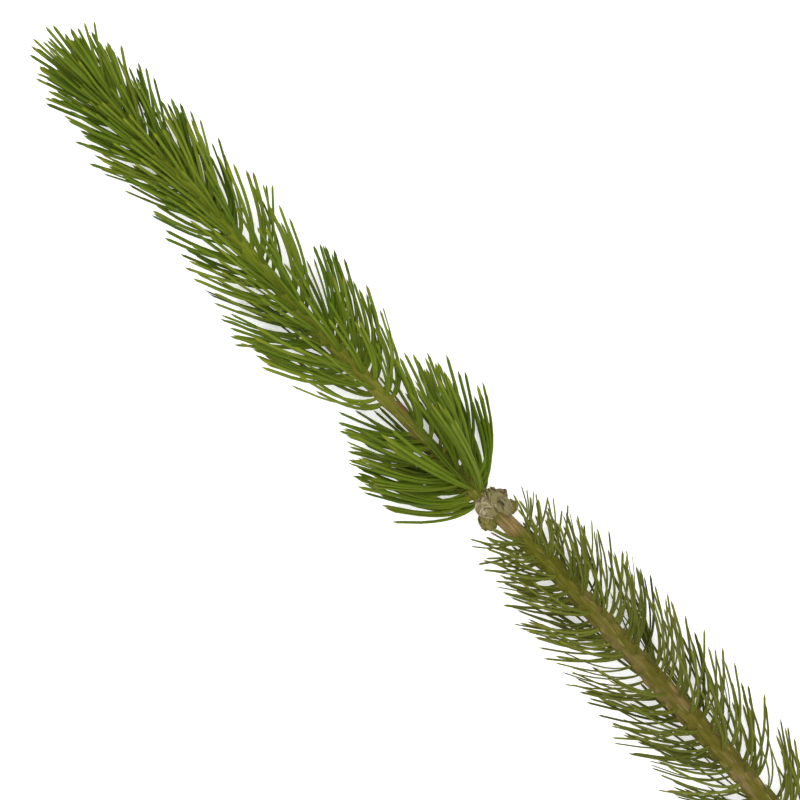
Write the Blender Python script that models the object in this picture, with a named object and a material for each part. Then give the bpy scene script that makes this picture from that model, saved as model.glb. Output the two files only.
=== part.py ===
"""A cut pine branch: one leader with three growths of needles, lying on a surface.

The stem runs along +X from its cut end to its tip, +Z is up, and the surface is z = 0.
Lengths are metres. A place along the branch is its distance from the tip of the needles.
"""

import math
import random

import bmesh
import bpy
from mathutils import Matrix, Vector, noise

# Lengths along the branch, measured back from the foremost needle tips
BRANCH_LENGTH = 0.560
STEM_FRONT = 0.032
TIP_SHOOT_START = 0.0385
TIP_SHOOT_END = 0.233
MIDDLE_TUFT_START = 0.249
MIDDLE_TUFT_END = 0.2908
COLLAR_START = 0.290
LOWER_SHOOT_START = 0.316
LOWER_SHOOT_END = 0.534

# The stem's radius, at the places above and between them
STEM_RADII = (
    (0.032, 0.0012),
    (0.046, 0.0022),
    (0.110, 0.0026),
    (0.233, 0.0029),
    (0.285, 0.0032),
    (0.300, 0.0042),
    (0.345, 0.0037),
    (0.560, 0.0043),
)

# How high the stem's middle lies, and where it bends down to its cut end
STEM_HEIGHT = 0.0180
CUT_END_HEIGHT = 0.0046
DROOP_START = 0.400

# How far the stem sways towards +Y, at places along the branch
STEM_SWAY = (
    (0.030, 0.0006),
    (0.065, 0.0014),
    (0.105, 0.0006),
    (0.170, 0.0025),
    (0.225, 0.0021),
    (0.290, 0.0008),
    (0.340, -0.0009),
    (0.420, 0.0003),
    (0.560, 0.0036),
)

# How far to either side of a place the stem's direction is measured
NEAR = 0.001

# The needles grow on a spiral: each is turned by this angle and moved by this step
SPIRAL_TURN = math.radians(137.508)
SPIRAL_STEP = 0.00106
ROWS_ROUND = 3
STEEP_ROW = 3
FLAT_ROW = 5
SEAM_GAP = 0.00005

# A pair of needles: width and thickness at its foot and at its bend
FOOT_WIDTH = 0.0019
FOOT_THICKNESS = 0.0013
FOOT_RISE = 0.0003
BEND_WIDTH = 0.0018
BEND_THICKNESS = 0.0010
BEND_AT = 0.33
FLOOR_GAP = 0.00002
LEVEL_ENOUGH = 0.2

# Each growth: place, needle length, angle off the stem at the foot and past the bend,
# and how far the upper needles part to the sides, in degrees
TIP_NEEDLES = (
    (0.0385, 0.0375, 19, 10, 0),
    (0.050, 0.035, 38, 17, 4),
    (0.090, 0.041, 50, 20, 14),
    (0.150, 0.043, 54, 20, 18),
    (0.205, 0.048, 68, 23, 16),
    (0.224, 0.047, 80, 23, 16),
    (0.233, 0.041, 84, 18, 28),
)
MIDDLE_NEEDLES = (
    (0.249, 0.036, 50, 22, 68),
    (0.262, 0.046, 64, 23, 60),
    (0.272, 0.050, 72, 25, 44),
    (0.281, 0.053, 82, 26, 12),
    (0.2908, 0.055, 96, 29, 8),
)
LOWER_NEEDLES = (
    (0.316, 0.024, 84, 36, 40),
    (0.330, 0.030, 80, 28, 40),
    (0.360, 0.038, 78, 28, 40),
    (0.400, 0.043, 78, 28, 40),
    (0.534, 0.042, 80, 28, 40),
)

# Each growth's habit: how much the angles and turns of its needles vary, in degrees, the
# share of its underside's cushions that are bare, and how far the topmost needles lie down
# on the stem
TIP_HABIT = (4, 6, 0.55, 0.50)
MIDDLE_HABIT = (4, 6, 0.20, 0.35)
LOWER_HABIT = (7, 9, 0.45, 0.15)
UNDERSIDE = math.radians(105)
BARE_ABOVE = 0.25
LENGTH_VARIES = 0.06
BARE_SEED = 5000
GROWTHS = (
    (TIP_SHOOT_START, TIP_SHOOT_END, TIP_NEEDLES, TIP_HABIT),
    (MIDDLE_TUFT_START, MIDDLE_TUFT_END, MIDDLE_NEEDLES, MIDDLE_HABIT),
    (LOWER_SHOOT_START, LOWER_SHOOT_END, LOWER_NEEDLES, LOWER_HABIT),
)

# The lumps of the collar: name, place, turn round the stem from straight up towards +Y,
# and size along the stem, round it and outwards
COLLAR_GAP = 0.0003
COLLAR_SINK = 0.0012
LUMP_ROUGHNESS = 0.16
LUMP_GRAIN = 3.1
LUMP_VARIETY = 900
CUTTER_REACH = 0.012
CUTTER_RINGS = 12
CUTTER_SIDES = 16
CUTTER_ROUNDING = 1.02
COLLAR_LUMPS = (
    ("bud_upper_left", 0.2972, 27, (0.0096, 0.0076, 0.0044)),
    ("bud_lower_left", 0.3022, 84, (0.0082, 0.0058, 0.0060)),
    ("scale_upper_right", 0.2994, -52, (0.0136, 0.0078, 0.0048)),
    ("bud_right_front", 0.2982, -114, (0.0062, 0.0044, 0.0070)),
    ("bud_right_back", 0.3050, -108, (0.0056, 0.0048, 0.0066)),
    ("bud_under_left", 0.2975, 140, (0.0062, 0.0050, 0.0046)),
    ("bud_under_right", 0.3026, -160, (0.0066, 0.0052, 0.0046)),
)


def blend(table, place):
    """The row of values at a place, between the rows that lie on either side of it."""
    place = min(max(place, table[0][0]), table[-1][0])
    for low, high in zip(table, table[1:]):
        if place <= high[0]:
            share = (place - low[0]) / (high[0] - low[0])
            return tuple(a + (b - a) * share for a, b in zip(low[1:], high[1:]))


def smooth(table, place):
    """One value at a place, eased between the rows so that a line of them has no kinks."""
    place = min(max(place, table[0][0]), table[-1][0])
    for low, high in zip(table, table[1:]):
        if place <= high[0]:
            share = (place - low[0]) / (high[0] - low[0])
            return low[1] + (high[1] - low[1]) * share * share * (3 - 2 * share)


def stem_radius(place):
    return blend(STEM_RADII, place)[0]


def stem_middle(place):
    """The point in the stem's middle at a place along the branch."""
    droop = max(0.0, (place - DROOP_START) / (BRANCH_LENGTH - DROOP_START))
    height = STEM_HEIGHT - (STEM_HEIGHT - CUT_END_HEIGHT) * droop * droop
    return Vector((BRANCH_LENGTH / 2 - place, smooth(STEM_SWAY, place), height))


def around(place, turn):
    """The directions along the stem and out of it, for a turn from straight up to +Y."""
    along = (stem_middle(place - NEAR) - stem_middle(place + NEAR)).normalized()
    side = Vector((0, 0, 1)).cross(along).normalized()
    up = along.cross(side)
    return along, up * math.cos(turn) + side * math.sin(turn)


def stem_point(place, turn):
    return stem_middle(place) + around(place, turn)[1] * stem_radius(place)


def wrapped(turn):
    """The same turn, from -pi to pi."""
    return (turn + math.pi) % (2 * math.pi) - math.pi


def spiral_point(number):
    """A corner of the cushions: its place and its turn."""
    return STEM_FRONT + number * SPIRAL_STEP, wrapped(number * SPIRAL_TURN)


def cushion(number):
    """A cushion's middle, halfway from its first corner, of this number, to its last."""
    across = STEEP_ROW + FLAT_ROW
    turn = number * SPIRAL_TURN + wrapped(across * SPIRAL_TURN) / 2
    return STEM_FRONT + (number + across / 2) * SPIRAL_STEP, wrapped(turn)


def growth_of(number):
    """The needle table and habit of a cushion's growth, or None where it is bare."""
    place, turn = cushion(number)
    luck = random.Random(BARE_SEED + number).random()
    for start, end, table, habit in GROWTHS:
        bare = habit[2] * (1 if abs(turn) > UNDERSIDE else BARE_ABOVE)
        if start <= place <= end and luck >= bare:
            return table, habit
    return None


def needle_path(number):
    """The foot, bend and tip of the pair of needles on a cushion."""
    table, (angle_varies, turn_varies, _, lie_down) = growth_of(number)
    place, turn = cushion(number)
    chance = random.Random(number)
    length, foot_angle, tip_angle, parting = blend(table, place)
    length *= 1 + chance.uniform(-LENGTH_VARIES, LENGTH_VARIES)
    swing = chance.uniform(-angle_varies, angle_varies)
    parted = math.copysign(math.radians(parting) + abs(turn) * (1 - parting / 180), turn)
    parted += math.radians(chance.uniform(-turn_varies, turn_varies))
    along, out = around(place, parted)
    raised = 1 - lie_down * max(0.0, math.cos(parted)) ** 2
    foot = stem_point(place, turn)

    def heading(angle):
        lean = math.radians(angle * raised + swing)
        return along * math.cos(lean) + out * math.sin(lean)

    bend = foot + heading(foot_angle) * length * BEND_AT
    tip = bend + heading(tip_angle) * length * (1 - BEND_AT)
    return foot, lifted(foot, bend, BEND_THICKNESS), lifted(foot, tip, FLOOR_GAP)


def lifted(foot, point, lowest):
    """A point moved up to the surface and further out, its distance from the foot kept."""
    if point.z >= lowest:
        return point
    reach = point - foot
    drop = lowest - foot.z
    flat = math.hypot(reach.x, reach.y)
    stretched = math.sqrt(max(reach.length_squared - drop * drop, 0.0)) / max(flat, 1e-6)
    return Vector((foot.x + reach.x * stretched, foot.y + reach.y * stretched, lowest))


def spiral_skin(bm):
    """The stem's skin of diamond leaf cushions, rolled from a flat grid into a tube."""
    spare = 2 * FLAT_ROW * ROWS_ROUND
    count = math.ceil((BRANCH_LENGTH - STEM_FRONT) / SPIRAL_STEP) + 2 * spare
    steps = math.ceil(count / STEEP_ROW)
    bmesh.ops.create_grid(bm, x_segments=steps, y_segments=ROWS_ROUND, size=0.5)
    numbers = bm.verts.layers.int.new("number")
    for vert in bm.verts:
        i = round((vert.co.x + 0.5) * steps)
        j = round((vert.co.y + 0.5) * ROWS_ROUND)
        vert[numbers] = STEEP_ROW * i + FLAT_ROW * j - spare
        vert.co = stem_point(*spiral_point(vert[numbers]))
    bmesh.ops.remove_doubles(bm, verts=bm.verts, dist=SEAM_GAP)
    for place, facing in ((STEM_FRONT, 1), (BRANCH_LENGTH, -1)):
        cut = bmesh.ops.bisect_plane(
            bm,
            geom=bm.verts[:] + bm.edges[:] + bm.faces[:],
            plane_co=stem_middle(place),
            plane_no=around(place, 0)[0] * facing,
            clear_outer=True,
        )
        rim = [item for item in cut["geom_cut"] if isinstance(item, bmesh.types.BMEdge)]
        bmesh.ops.contextual_create(bm, geom=rim)
    bmesh.ops.recalc_face_normals(bm, faces=bm.faces)


def shape_section(face, middle, heading, width, thickness):
    """Move a diamond's corners to a small section of a needle, square to its heading."""
    face.normal_update()
    across = Vector((0, 0, 1)).cross(heading)
    if across.length < LEVEL_ENOUGH:
        across = Vector((0, 1, 0)).cross(heading)
    across.normalize()
    over = heading.cross(across)
    if face.normal.dot(heading) < 0:
        over.negate()
    own = face.calc_center_median()
    start = max(range(4), key=lambda at: (face.verts[at].co - own).dot(across))
    rim = (across * width, over * thickness, -across * width, -over * thickness)
    for step in range(4):
        face.verts[(start + step) % 4].co = middle + rim[step] / 2


def grow_needles(bm):
    """Pull a bent spike, one fused pair of needles, out of each cushion that bears one."""
    corners = bm.verts.layers.int["number"]
    firsts = bm.faces.layers.int.new("first")
    bearing = []
    for face in bm.faces:
        face[firsts] = min(vert[corners] for vert in face.verts)
        if len(face.verts) == 4 and growth_of(face[firsts]):
            bearing.append(face)
    feet = bmesh.ops.extrude_discrete_faces(bm, faces=bearing)["faces"]
    for face in feet:
        foot, bend, tip = needle_path(face[firsts])
        heading = (bend - foot).normalized()
        shape_section(face, foot + heading * FOOT_RISE, heading, FOOT_WIDTH, FOOT_THICKNESS)
    bends = bmesh.ops.extrude_discrete_faces(bm, faces=feet)["faces"]
    for face in bends:
        foot, bend, tip = needle_path(face[firsts])
        heading = ((bend - foot).normalized() + (tip - bend).normalized()).normalized()
        shape_section(face, bend, heading, BEND_WIDTH, BEND_THICKNESS)
    for vert in bmesh.ops.poke(bm, faces=bends)["verts"]:
        vert.co = needle_path(vert.link_faces[0][firsts])[2]


def material(name, colour, roughness):
    made = bpy.data.materials.new(name)
    made.use_nodes = True
    shader = made.node_tree.nodes["Principled BSDF"]
    shader.inputs["Base Color"].default_value = (*colour, 1)
    shader.inputs["Roughness"].default_value = roughness
    shader.inputs["Metallic"].default_value = 0
    return made


def add_object(name, bm, collection, surface=None):
    mesh = bpy.data.meshes.new(name)
    bm.to_mesh(mesh)
    bm.free()
    made = bpy.data.objects.new(name, mesh)
    if surface:
        made.data.materials.append(surface)
    collection.objects.link(made)
    return made


def make_branch(collection, surface):
    bm = bmesh.new()
    spiral_skin(bm)
    grow_needles(bm)
    bmesh.ops.triangulate(bm, faces=bm.faces)
    return add_object("needled_stem", bm, collection, surface)


def make_lump(name, place, turn, size, collection, surface):
    """One lump of the collar: a rough ball, flattened on the stem that it sits on."""
    along, out = around(place, math.radians(turn))
    side = out.cross(along)
    turned = Matrix((along, side, out)).transposed()
    middle = stem_middle(place) + out * (stem_radius(place) - COLLAR_SINK + size[2] / 2)
    bm = bmesh.new()
    bmesh.ops.create_icosphere(bm, subdivisions=2, radius=0.5)
    for vert in bm.verts:
        grain = noise.noise(vert.co * LUMP_GRAIN + middle * LUMP_VARIETY)
        rough = 1 + LUMP_ROUGHNESS * grain
        local = Vector(a * b for a, b in zip(vert.co * rough, size))
        vert.co = middle + turned @ local
    return add_object(name, bm, collection, surface)


def stem_cutter(collection):
    """The stem with a gap round it, which cuts the underside of each lump."""
    bm = bmesh.new()
    start = COLLAR_START - CUTTER_REACH
    end = LOWER_SHOOT_START + CUTTER_REACH
    bmesh.ops.create_cone(
        bm, cap_ends=True, segments=CUTTER_SIDES, radius1=1, radius2=1, depth=1
    )
    lengthwise = [edge for edge in bm.edges if edge.verts[0].co.z * edge.verts[1].co.z < 0]
    bmesh.ops.subdivide_edges(bm, edges=lengthwise, cuts=CUTTER_RINGS)
    for vert in bm.verts:
        place = start + (end - start) * (0.5 - vert.co.z)
        turn = math.atan2(vert.co.y, vert.co.x)
        out = around(place, turn)[1]
        reach = (stem_radius(place) + COLLAR_GAP) * CUTTER_ROUNDING
        vert.co = stem_middle(place) + out * reach
    bmesh.ops.recalc_face_normals(bm, faces=bm.faces)
    cutter = add_object("stem_clearance", bm, collection)
    cutter.hide_render = True
    cutter.display_type = "WIRE"
    return cutter


def cut(target, cutter):
    modifier = target.modifiers.new("clearance", "BOOLEAN")
    modifier.operation = "DIFFERENCE"
    modifier.object = cutter


def main():
    for old in list(bpy.data.objects):
        bpy.data.objects.remove(old)
    parts = bpy.data.collections.new("pine_branch")
    cutters = bpy.data.collections.new("cutters")
    bpy.context.scene.collection.children.link(parts)
    bpy.context.scene.collection.children.link(cutters)
    needle_green = material("needle_green", (0.13, 0.19, 0.045), 0.5)
    dry_scale = material("dry_scale", (0.38, 0.33, 0.20), 0.8)
    make_branch(parts, needle_green)
    clearance = stem_cutter(cutters)
    for name, place, turn, size in COLLAR_LUMPS:
        lump = make_lump(name, place, turn, size, parts, dry_scale)
        cut(lump, clearance)


main()
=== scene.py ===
# %% [markdown]
# # A cut pine branch
#
# A young pine leader lies on a pale table: one stem with three growths of needles, a bare
# stretch of bark between the first two and a collar of dry buds above the lowest one. The
# frame holds its solids at real size. This lesson dresses them: bark with leaf cushions,
# needles in pairs, buds wrapped in dry scales, and a cut end with its pith and a ring.

# %% Load the frame
import math
import random

import bmesh
import bpy
import numpy as np
from mathutils import Matrix, Vector, noise


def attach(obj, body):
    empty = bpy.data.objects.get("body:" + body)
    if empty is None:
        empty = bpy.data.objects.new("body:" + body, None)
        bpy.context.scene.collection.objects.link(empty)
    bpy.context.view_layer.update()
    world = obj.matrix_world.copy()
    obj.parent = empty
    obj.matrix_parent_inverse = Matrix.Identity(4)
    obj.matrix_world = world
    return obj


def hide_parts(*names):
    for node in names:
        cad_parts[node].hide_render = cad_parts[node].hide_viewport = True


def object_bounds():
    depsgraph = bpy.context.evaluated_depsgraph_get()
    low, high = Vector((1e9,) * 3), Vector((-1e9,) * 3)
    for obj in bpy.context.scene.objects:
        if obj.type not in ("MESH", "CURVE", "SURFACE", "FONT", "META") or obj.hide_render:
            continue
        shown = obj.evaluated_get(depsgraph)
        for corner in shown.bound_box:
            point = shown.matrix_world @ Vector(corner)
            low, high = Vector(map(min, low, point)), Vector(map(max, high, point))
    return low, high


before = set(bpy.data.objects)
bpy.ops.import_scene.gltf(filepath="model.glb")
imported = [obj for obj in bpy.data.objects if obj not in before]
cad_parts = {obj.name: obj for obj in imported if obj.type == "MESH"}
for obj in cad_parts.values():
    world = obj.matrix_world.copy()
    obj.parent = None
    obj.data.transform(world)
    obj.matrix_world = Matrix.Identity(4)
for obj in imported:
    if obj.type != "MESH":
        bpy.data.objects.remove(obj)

cad_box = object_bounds()
print("the solids' box in metres:", [list(corner) for corner in cad_box])

# %% [markdown]
# ## Where the branch lies
#
# The stem runs along +X to its tip. A place along it is a distance back from the foremost
# needle tips, in metres. A real leader thins towards its tip and sways a little from side to
# side. Each row of STEM_RADII has a place and the radius there, and each row of STEM_SWAY a
# place and how far to the side the stem's middle lies. The solids were made from the same
# tables, so every needle made here follows the spike that stands for it. A curve object
# could hold the line too, but a table can be asked for its value at any place.

# %% The stem's line
BRANCH_LENGTH = 0.560
STEM_FRONT = 0.032
STEM_HEIGHT = 0.0180
CUT_END_HEIGHT = 0.0046
DROOP_START = 0.400
STEM_RADII = (
    (0.032, 0.0012),
    (0.046, 0.0022),
    (0.110, 0.0026),
    (0.233, 0.0029),
    (0.285, 0.0032),
    (0.300, 0.0042),
    (0.345, 0.0037),
    (0.560, 0.0043),
)
STEM_SWAY = (
    (0.030, 0.0006),
    (0.065, 0.0014),
    (0.105, 0.0006),
    (0.170, 0.0025),
    (0.225, 0.0021),
    (0.290, 0.0008),
    (0.340, -0.0009),
    (0.420, 0.0003),
    (0.560, 0.0036),
)
print("length of the branch:", BRANCH_LENGTH)

# %% Read a value between two rows


def between(table, place):
    """The rows on either side of a place, and how far it lies from the first to the second."""
    place = min(max(place, table[0][0]), table[-1][0])
    for low, high in zip(table, table[1:]):
        if place <= high[0]:
            return low, high, (place - low[0]) / (high[0] - low[0])


def blend(table, place):
    """The row of values at a place."""
    low, high, share = between(table, place)
    return tuple(a + (b - a) * share for a, b in zip(low[1:], high[1:]))


def smooth(table, place):
    """One value at a place, eased between the rows so that a line of them has no kinks."""
    low, high, share = between(table, place)
    return low[1] + (high[1] - low[1]) * share * share * (3 - 2 * share)


print("radius at half length:", blend(STEM_RADII, BRANCH_LENGTH / 2)[0])

# %% Find a point on the stem


def stem_radius(place):
    return blend(STEM_RADII, place)[0]


def stem_middle(place):
    """The point in the stem's middle at a place along the branch."""
    droop = max(0.0, (place - DROOP_START) / (BRANCH_LENGTH - DROOP_START))
    height = STEM_HEIGHT - (STEM_HEIGHT - CUT_END_HEIGHT) * droop * droop
    return Vector((BRANCH_LENGTH / 2 - place, smooth(STEM_SWAY, place), height))


def around(place, turn):
    """The directions along the stem and out of it, for a turn from straight up to +Y."""
    step = 0.001
    along = (stem_middle(place - step) - stem_middle(place + step)).normalized()
    side = Vector((0, 0, 1)).cross(along).normalized()
    up = along.cross(side)
    return along, up * math.cos(turn) + side * math.sin(turn)


def stem_point(place, turn):
    return stem_middle(place) + around(place, turn)[1] * stem_radius(place)


print("middle of the cut end:", tuple(stem_middle(BRANCH_LENGTH)))

# %% [markdown]
# ### The spiral of leaf cushions
#
# A pine sets each new pair of needles about 137.5 degrees further round its stem than the
# last one, the golden angle, so that no pair stands straight above its neighbours. Counting
# along that spiral gives each pair its place and its turn round the stem. Points scattered
# by a particle system would be quicker, but they wouldn't fall into the rows of real bark.
#
# Each row of a needle table has a place, the needles' length, their angle from the stem at
# the foot and at the tip, and how far the topmost are parted to the sides, in degrees. A
# habit is what varies from pair to pair: the angle from the stem, the turn round it, the
# share of cushions left bare underneath, and how flat the topmost needles lie. A growth
# starts and ends with the first and the last row of its table.

# %% Needles along the stem
SPIRAL_TURN = math.radians(137.508)
SPIRAL_STEP = 0.00106
STEEP_ROW = 3
FLAT_ROW = 5
TIP_NEEDLES = (
    (0.0385, 0.0375, 19, 10, 0),
    (0.050, 0.035, 38, 17, 4),
    (0.090, 0.041, 50, 20, 14),
    (0.150, 0.043, 54, 20, 18),
    (0.205, 0.048, 68, 23, 16),
    (0.224, 0.047, 80, 23, 16),
    (0.233, 0.041, 84, 18, 28),
)
MIDDLE_NEEDLES = (
    (0.249, 0.036, 50, 22, 68),
    (0.262, 0.046, 64, 23, 60),
    (0.272, 0.050, 72, 25, 44),
    (0.281, 0.053, 82, 26, 12),
    (0.2908, 0.055, 96, 29, 8),
)
LOWER_NEEDLES = (
    (0.316, 0.024, 84, 36, 40),
    (0.330, 0.030, 80, 28, 40),
    (0.360, 0.038, 78, 28, 40),
    (0.400, 0.043, 78, 28, 40),
    (0.534, 0.042, 80, 28, 40),
)
TIP_HABIT = (4, 6, 0.55, 0.50)
MIDDLE_HABIT = (4, 6, 0.20, 0.35)
LOWER_HABIT = (7, 9, 0.45, 0.15)
UNDERSIDE = math.radians(105)
BARE_ABOVE = 0.25
LENGTH_VARIES = 0.06
BARE_SEED = 5000
BEND_AT = 0.33
GROWTHS = {
    "tip_shoot": (TIP_NEEDLES, TIP_HABIT),
    "middle_tuft": (MIDDLE_NEEDLES, MIDDLE_HABIT),
    "lower_shoot": (LOWER_NEEDLES, LOWER_HABIT),
}
print("growths:", list(GROWTHS))

# %% Find a cushion and its growth


def wrapped(turn):
    """The same turn, from -pi to pi."""
    return (turn + math.pi) % (2 * math.pi) - math.pi


def cushion(number):
    """The place and turn of a cushion's middle."""
    across = STEEP_ROW + FLAT_ROW
    turn = number * SPIRAL_TURN + wrapped(across * SPIRAL_TURN) / 2
    return STEM_FRONT + (number + across / 2) * SPIRAL_STEP, wrapped(turn)


def growth_of(number):
    """The name of the growth that a cushion's needles belong to, or None if it has none."""
    place, turn = cushion(number)
    luck = random.Random(BARE_SEED + number).random()
    for name, (table, habit) in GROWTHS.items():
        bare = habit[2] * (1 if abs(turn) > UNDERSIDE else BARE_ABOVE)
        if table[0][0] <= place <= table[-1][0] and luck >= bare:
            return name
    return None


print("the first cushion:", cushion(0))

# %% Draw a pair's curve


def needle_path(number):
    """The foot, bend and tip of the pair of needles on a cushion."""
    table, (angle_varies, turn_varies, _, lie_down) = GROWTHS[growth_of(number)]
    place, turn = cushion(number)
    chance = random.Random(number)
    length, foot_angle, tip_angle, parting = blend(table, place)
    length *= 1 + chance.uniform(-LENGTH_VARIES, LENGTH_VARIES)
    swing = chance.uniform(-angle_varies, angle_varies)
    parted = math.copysign(math.radians(parting) + abs(turn) * (1 - parting / 180), turn)
    parted += math.radians(chance.uniform(-turn_varies, turn_varies))
    along, out = around(place, parted)
    raised = 1 - lie_down * max(0.0, math.cos(parted)) ** 2
    foot = stem_point(place, turn)

    def heading(angle):
        lean = math.radians(angle * raised + swing)
        return along * math.cos(lean) + out * math.sin(lean)

    bend = foot + heading(foot_angle) * length * BEND_AT
    return foot, bend, bend + heading(tip_angle) * length * (1 - BEND_AT)


CUSHIONS = range(math.ceil((BRANCH_LENGTH - STEM_FRONT) / SPIRAL_STEP) - STEEP_ROW - FLAT_ROW)
needled = {name: [n for n in CUSHIONS if growth_of(n) == name] for name in GROWTHS}
print("pairs of needles:", {name: len(numbers) for name, numbers in needled.items()})

# %% [markdown]
# ## The camera
#
# The photograph looks straight down on the branch, which runs from its lower right corner
# to its upper left one. One of its pixels is 0.45 mm at the stem, and that, the lens and the
# number of pixels give the camera's height. The camera could be turned by hand until the
# branch lies right. Writing down where the picture's right and its top point is surer.

# %% The camera
PIXEL = 0.00045
FRAME_PIXELS = 800
LENS_MM = 100
SENSOR_MM = 36
IMAGE_MIDDLE = (0.2355, -0.0025)
IMAGE_RIGHT = Vector((-0.6865, -0.7272, 0))
IMAGE_UP = Vector((0.7272, -0.6865, 0))


def add_camera():
    """Look straight down, turned so that the branch lies as in the photograph."""
    height = FRAME_PIXELS * PIXEL * LENS_MM / SENSOR_MM
    made = bpy.data.objects.new("camera", bpy.data.cameras.new("camera"))
    made.data.lens = LENS_MM
    made.data.sensor_width = SENSOR_MM
    made.matrix_world = Matrix((IMAGE_RIGHT, IMAGE_UP, (0, 0, 1))).transposed().to_4x4()
    place, side = IMAGE_MIDDLE
    made.location = (BRANCH_LENGTH / 2 - place, side, STEM_HEIGHT + height)
    bpy.context.scene.collection.objects.link(made)
    bpy.context.scene.camera = made
    return made


print("camera at", tuple(add_camera().location))

# %% [markdown]
# ## Shader sums as Python
#
# A finish is a net of small nodes, and most of them only add, subtract or multiply. They
# could be placed by hand in the shader editor. Here a wire is a Python value instead: a
# sign between two wires, or between a wire and a number on either side of it, adds the Math
# node by itself. Every other node comes from one method of the shader.

# %% A wire that can be added and multiplied


class Wire:
    """The output of a shader node. A sign between two wires adds a Math node."""

    def __init__(self, shader, output):
        self.shader = shader
        self.output = output

    def join(self, operation, first, second):
        return self.shader.node("ShaderNodeMath", {"operation": operation}, first, second)

    def __add__(self, other):
        return self.join("ADD", self, other)

    def __sub__(self, other):
        return self.join("SUBTRACT", self, other)

    def __mul__(self, other):
        return self.join("MULTIPLY", self, other)

    def __rsub__(self, other):
        return self.join("SUBTRACT", other, self)

    __radd__ = __add__
    __rmul__ = __mul__


# %% A material and its nodes


class Shader:
    """A new material and the few calls that fill its node tree."""

    def __init__(self, name):
        self.material = bpy.data.materials.new(name)
        self.material.use_nodes = True
        self.tree = self.material.node_tree
        self.surface = self.tree.nodes["Principled BSDF"]

    def put(self, socket, value):
        if isinstance(value, Wire):
            self.tree.links.new(value.output, socket)
        else:
            socket.default_value = value

    def node(self, kind, settings, *values, output=0, **named):
        """Any node: its settings first, then the values or wires of its sockets."""
        made = self.tree.nodes.new(kind)
        for name, value in settings.items():
            setattr(made, name, value)
        for number, value in enumerate(values):
            if value is not None:
                self.put(made.inputs[number], value)
        for name, value in named.items():
            self.put(made.inputs[name.replace("_", " ")], value)
        return Wire(self, made.outputs[output])

    def attribute(self, name, output="Fac"):
        """A value painted on the piece's points: Fac is a number, Vector three of them."""
        return self.node("ShaderNodeAttribute", {"attribute_name": name}, output=output)

    def mix(self, share, first, second):
        """A colour between two colours, whose sockets come after those of other kinds."""
        others = [None] * 5
        return self.node(
            "ShaderNodeMix", {"data_type": "RGBA"}, share, *others, first, second, output=2
        )

    def ramp(self, value, low, high):
        """A number stretched so that low gives 0 and high gives 1, and kept between them."""
        return self.node("ShaderNodeMapRange", {"clamp": True}, value, low, high, 0.0, 1.0)

    def fall(self, value, low, high):
        """The other way round: 1 at low and 0 at high."""
        return 1 - self.ramp(value, low, high)

    def band(self, value, start, full, last, end):
        """1 between full and last, and 0 before start and after end."""
        return self.ramp(value, start, full) * self.fall(value, last, end)

    def position(self):
        return self.node("ShaderNodeTexCoord", {}, output="Object")

    def stretched(self, vector, scale):
        return self.node("ShaderNodeVectorMath", {"operation": "MULTIPLY"}, vector, scale)

    def noise(self, vector, scale, detail=2.0, rough=0.5):
        return self.node(
            "ShaderNodeTexNoise", {}, Vector=vector, Scale=scale, Detail=detail, Roughness=rough
        )

    def finish(self, colour, roughness, height=None, depth=0.0, specular=0.5):
        self.put(self.surface.inputs["Base Color"], colour)
        self.put(self.surface.inputs["Roughness"], roughness)
        self.surface.inputs["Specular IOR Level"].default_value = specular
        if height is not None:
            bump = self.node("ShaderNodeBump", {}, Strength=1.0, Distance=depth, Height=height)
            self.put(self.surface.inputs["Normal"], bump)
        return self.material


# %% [markdown]
# ## The table and the light
#
# The ground of the photograph is plain white, with only a breath of shadow below the
# needles. A bare plane would show darker shadows, so this one is a light table: it glows a
# little and fills them from below. Two broad area lamps and a white world light the branch
# from all round. A single small lamp would draw every needle on the table in black.

# %% The table
TABLE_SIZE = 6.0
TABLE_GLOW = 0.36
TABLE_GRAIN = 3.0
TABLE_ROUGHNESS = 0.9
TABLE_WHITES = ((0.86, 0.86, 0.86, 1), (0.9, 0.9, 0.9, 1))
WHITE = (1, 1, 1, 1)


def deselect():
    bpy.ops.object.select_all(action="DESELECT")


def add_table():
    """A broad light table, level with the lowest needles: its glow softens their shadows."""
    deselect()
    bpy.ops.mesh.primitive_plane_add(size=TABLE_SIZE, location=(0, 0, 0))
    table = bpy.context.object
    table.name = "table_top"
    shader = Shader("pale_table")
    grain = shader.noise(shader.position(), TABLE_GRAIN)
    white = shader.mix(grain, *TABLE_WHITES)
    table.data.materials.append(shader.finish(white, TABLE_ROUGHNESS))
    shader.surface.inputs["Emission Color"].default_value = WHITE
    shader.surface.inputs["Emission Strength"].default_value = TABLE_GLOW
    return table


print("table:", tuple(add_table().dimensions))

# %% The lamps and the world
LAMPS = {
    "broad_lamp": ((0.4, -0.5, 1.6), 1.4, 14),
    "fill_lamp": ((-0.9, 0.7, 1.2), 1.5, 7),
}
WORLD_STRENGTH = 1.20


def add_lamp(name, place, size, power):
    """A square lamp that faces the middle of the table."""
    lamp = bpy.data.objects.new(name, bpy.data.lights.new(name, "AREA"))
    lamp.data.size = size
    lamp.data.energy = power
    lamp.location = place
    lamp.rotation_euler = (-Vector(place)).to_track_quat("-Z", "Y").to_euler()
    bpy.context.scene.collection.objects.link(lamp)


def add_world():
    world = bpy.data.worlds.new("soft_studio")
    world.use_nodes = True
    background = world.node_tree.nodes["Background"]
    background.inputs["Color"].default_value = WHITE
    background.inputs["Strength"].default_value = WORLD_STRENGTH
    bpy.context.scene.world = world
    bpy.context.scene.view_settings.view_transform = "Standard"


add_world()
for name, (place, size, power) in LAMPS.items():
    add_lamp(name, place, size, power)
    print(name, "of", power, "watts at", place)

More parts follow.
